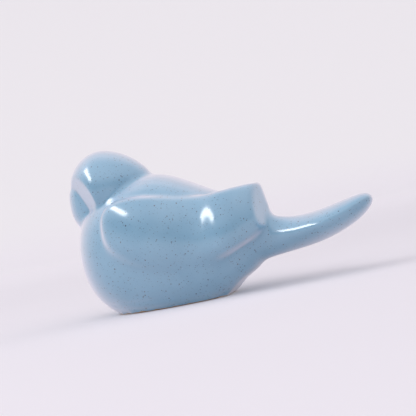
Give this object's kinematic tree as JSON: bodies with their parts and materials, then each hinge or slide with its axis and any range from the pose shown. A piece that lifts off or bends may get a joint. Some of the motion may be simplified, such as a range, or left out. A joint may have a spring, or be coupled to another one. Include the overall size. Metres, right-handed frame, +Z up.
{
  "type": "bird figurine",
  "caption": "Small hand-built stoneware bird ornament in glossy speckled pale blue glaze, hollow, with folded wings, upswept tail and a flat bare clay foot to stand on.",
  "frame": {"origin": "on the flat foot, under the widest part of the body, at the surface it stands on", "axes": "+X the way the bird faces, +Y its left side, +Z up"},
  "size_m": [0.0943, 0.043, 0.0516],
  "materials": {
    "glaze": "glossy pale blue glaze with fine dark specks",
    "bare_clay": "unglazed tan stoneware"
  },
  "bodies": {
    "root": {"body_shell": "glaze", "base_slab": "bare_clay", "head": "glaze", "beak": "glaze", "left_wing": "glaze", "right_wing": "glaze", "tail": "glaze"}
  },
  "joints": []
}
